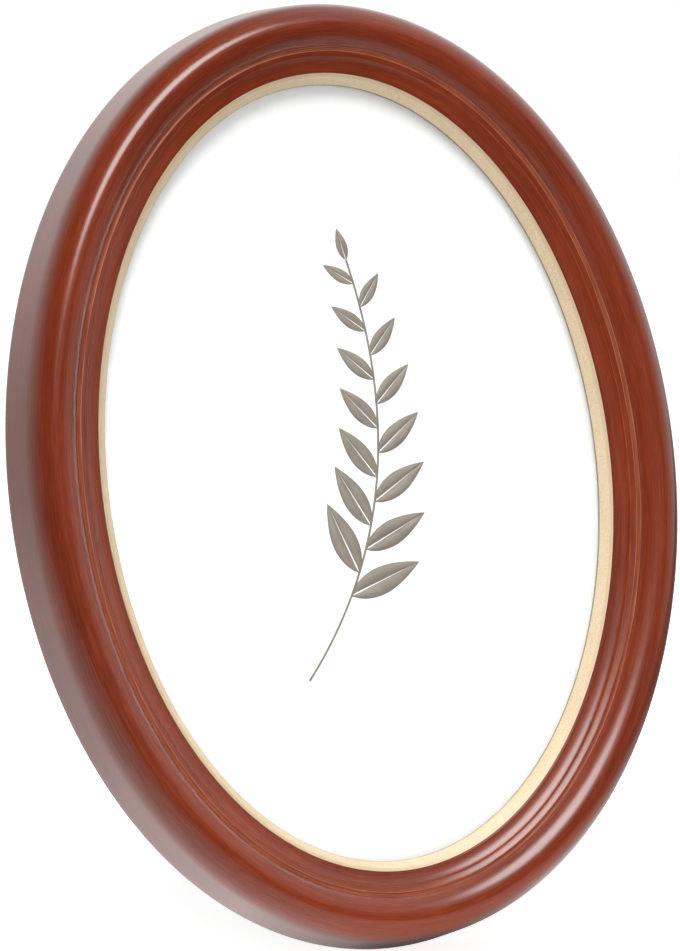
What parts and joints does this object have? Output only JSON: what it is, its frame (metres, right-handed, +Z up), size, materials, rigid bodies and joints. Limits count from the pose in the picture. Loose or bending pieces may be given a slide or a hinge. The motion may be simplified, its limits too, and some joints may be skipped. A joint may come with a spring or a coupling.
{
  "type": "oval picture frame",
  "caption": "Oval lacquered wooden picture frame with a gilt sight edge, glass, easel strut, hanging ring and turn buttons over a removable back board.",
  "frame": {"origin": "on the table, under the middle of the standing frame's box", "axes": "+Z up, the picture faces -Y and leans back, +X to the viewer's right"},
  "size_m": [0.129, 0.0842, 0.1706],
  "materials": {
    "lacquered_wood": "glossy red-brown lacquer over wood",
    "gilt": "satin gold paint with a fine grain",
    "clear_glass": "polished clear",
    "printed_card": "smooth white card with a warm grey line print",
    "corrugated_board": "plain brown corrugated board",
    "dark_board": "matt black-brown faced fibreboard with bare edges",
    "plated_steel": "nickel plated, lightly brushed"
  },
  "bodies": {
    "frame": {"moulding": "lacquered_wood", "gilt_slip": "gilt", "glass": "clear_glass", "insert_card": "printed_card", "filler_pad": "corrugated_board", "back_board": "dark_board", "hinge_upper_leaf": "plated_steel", "hinge_pin": "plated_steel", "board_rivets": "plated_steel", "turn_button_screws": "plated_steel", "hanger_strap": "plated_steel", "hanger_rivet": "plated_steel"},
    "strut": {"strut": "dark_board", "hinge_lower_leaf": "plated_steel", "strut_rivets": "plated_steel"},
    "hanger_ring": {"hanger_ring": "plated_steel"},
    "turn_button_upper_right": {"turn_button_upper_right": "plated_steel"},
    "turn_button_upper_left": {"turn_button_upper_left": "plated_steel"},
    "turn_button_lower_left": {"turn_button_lower_left": "plated_steel"},
    "turn_button_lower_right": {"turn_button_lower_right": "plated_steel"}
  },
  "joints": [
    {"name": "strut_fold", "type": "hinge", "parent": "frame", "child": "strut", "pos_m": [0, 0.01632, 0.10599], "axis": [1, 0, 0], "range_deg": [-32, 0]},
    {"name": "ring_swing", "type": "hinge", "parent": "frame", "child": "hanger_ring", "pos_m": [0, 0.02921, 0.14067], "axis": [1, 0, 0], "range_deg": [-21, 159]},
    {"name": "turn_upper_right", "type": "hinge", "parent": "frame", "child": "turn_button_upper_right", "pos_m": [0.04377, 0.02484, 0.13348], "axis": [0, 0.9336, -0.3584], "continuous": true},
    {"name": "turn_upper_left", "type": "hinge", "parent": "frame", "child": "turn_button_upper_left", "pos_m": [-0.04377, 0.02484, 0.13348], "axis": [0, 0.9336, -0.3584], "continuous": true},
    {"name": "turn_lower_left", "type": "hinge", "parent": "frame", "child": "turn_button_lower_left", "pos_m": [-0.04377, -0.01366, 0.03318], "axis": [0, 0.9336, -0.3584], "continuous": true},
    {"name": "turn_lower_right", "type": "hinge", "parent": "frame", "child": "turn_button_lower_right", "pos_m": [0.04377, -0.01366, 0.03318], "axis": [0, 0.9336, -0.3584], "continuous": true}
  ]
}
